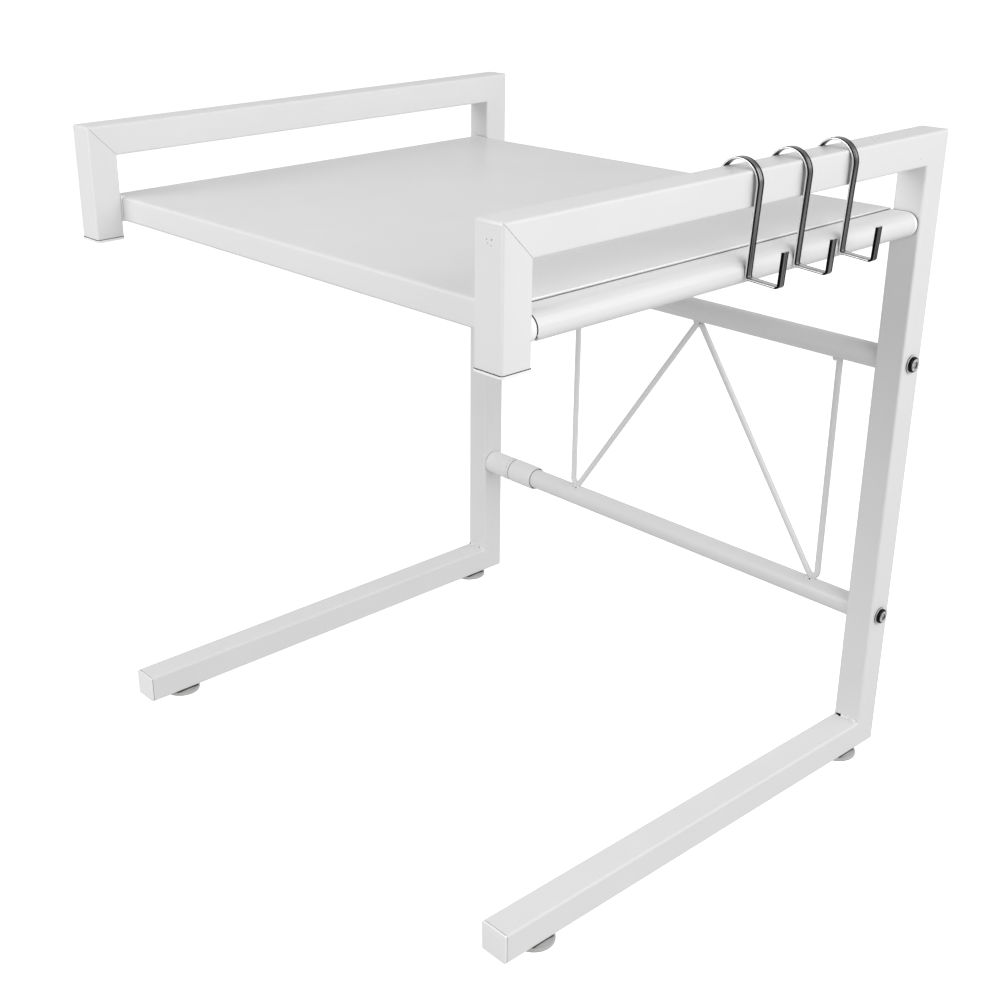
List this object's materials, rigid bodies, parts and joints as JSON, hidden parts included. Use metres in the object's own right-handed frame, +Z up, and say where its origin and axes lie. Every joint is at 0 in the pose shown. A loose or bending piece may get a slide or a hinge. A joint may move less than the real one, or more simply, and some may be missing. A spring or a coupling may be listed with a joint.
{
  "type": "expandable microwave shelf",
  "caption": "Open shelf of square tube side frames that pulls out sideways on telescopic back tubes, with a two-part sliding board, rails, a wire brace, levelling feet and hooks.",
  "frame": {"origin": "on the floor under the middle of the whole closed shelf, with its bolt heads and hooks", "axes": "+X towards the side that pulls out, +Y towards the back, +Z up"},
  "size_m": [0.4313, 0.3704, 0.4376],
  "materials": {
    "white_steel": "glossy white powder coat",
    "white_plastic": "smooth moulded white",
    "grey_plastic": "satin moulded grey",
    "bright_steel": "polished strip",
    "zinc_steel": "bright zinc plate"
  },
  "bodies": {
    "left_frame": {"left_base_tube": "white_steel", "left_rear_upright": "white_steel", "left_top_rail": "white_steel", "left_front_post": "white_steel", "left_post_cap": "white_plastic", "left_base_cap": "white_plastic", "left_corner_weld": "white_steel", "left_tube_bolts": "zinc_steel", "left_tube_washers": "zinc_steel", "left_tube_end_nuts": "zinc_steel", "left_foot_inserts": "zinc_steel", "left_nose_caps": "white_plastic", "shelf_outer_half": "white_steel", "lower_inner_tube": "white_steel", "upper_inner_tube": "white_steel"},
    "right_frame": {"right_base_tube": "white_steel", "right_rear_upright": "white_steel", "right_top_rail": "white_steel", "right_front_post": "white_steel", "right_post_cap": "white_plastic", "right_base_cap": "white_plastic", "right_corner_weld": "white_steel", "right_tube_bolts": "zinc_steel", "right_tube_washers": "zinc_steel", "right_tube_end_nuts": "zinc_steel", "right_foot_inserts": "zinc_steel", "right_nose_caps": "white_plastic", "shelf_inner_half": "white_steel", "lower_outer_tube": "white_steel", "upper_outer_tube": "white_steel", "lower_lock_sleeve": "white_plastic", "upper_lock_sleeve": "white_plastic", "wire_brace": "white_steel"},
    "lower_lock": {"lower_lock_nut": "white_plastic"},
    "upper_lock": {"upper_lock_nut": "white_plastic"},
    "left_front_foot": {"left_front_foot_pad": "grey_plastic", "left_front_foot_stud": "zinc_steel"},
    "left_rear_foot": {"left_rear_foot_pad": "grey_plastic", "left_rear_foot_stud": "zinc_steel"},
    "right_front_foot": {"right_front_foot_pad": "grey_plastic", "right_front_foot_stud": "zinc_steel"},
    "right_rear_foot": {"right_rear_foot_pad": "grey_plastic", "right_rear_foot_stud": "zinc_steel"},
    "front_hook": {"front_hook": "bright_steel"},
    "middle_hook": {"middle_hook": "bright_steel"},
    "rear_hook": {"rear_hook": "bright_steel"}
  },
  "joints": [
    {"name": "width_slide", "type": "slide", "parent": "left_frame", "child": "right_frame", "axis": [1, 0, 0], "range_m": [0, 0.2]},
    {"name": "lower_lock_twist", "type": "hinge", "parent": "right_frame", "child": "lower_lock", "pos_m": [-0.18234, 0.175, 0.1058], "axis": [-1, 0, 0], "range_deg": [0, 90]},
    {"name": "upper_lock_twist", "type": "hinge", "parent": "right_frame", "child": "upper_lock", "pos_m": [-0.18234, 0.175, 0.2858], "axis": [-1, 0, 0], "range_deg": [0, 90]},
    {"name": "left_front_foot_height", "type": "slide", "parent": "left_frame", "child": "left_front_foot", "axis": [0, 0, -1], "range_m": [0, 0.008]},
    {"name": "left_rear_foot_height", "type": "slide", "parent": "left_frame", "child": "left_rear_foot", "axis": [0, 0, -1], "range_m": [0, 0.008]},
    {"name": "right_front_foot_height", "type": "slide", "parent": "right_frame", "child": "right_front_foot", "axis": [0, 0, -1], "range_m": [0, 0.008]},
    {"name": "right_rear_foot_height", "type": "slide", "parent": "right_frame", "child": "right_rear_foot", "axis": [0, 0, -1], "range_m": [0, 0.008]},
    {"name": "front_hook_slide", "type": "slide", "parent": "right_frame", "child": "front_hook", "axis": [0, 1, 0], "range_m": [-0.16085, 0.01815]},
    {"name": "middle_hook_slide", "type": "slide", "parent": "right_frame", "child": "middle_hook", "axis": [0, 1, 0], "range_m": [-0.01815, 0.01815]},
    {"name": "rear_hook_slide", "type": "slide", "parent": "right_frame", "child": "rear_hook", "axis": [0, 1, 0], "range_m": [-0.01815, 0.07685]}
  ]
}
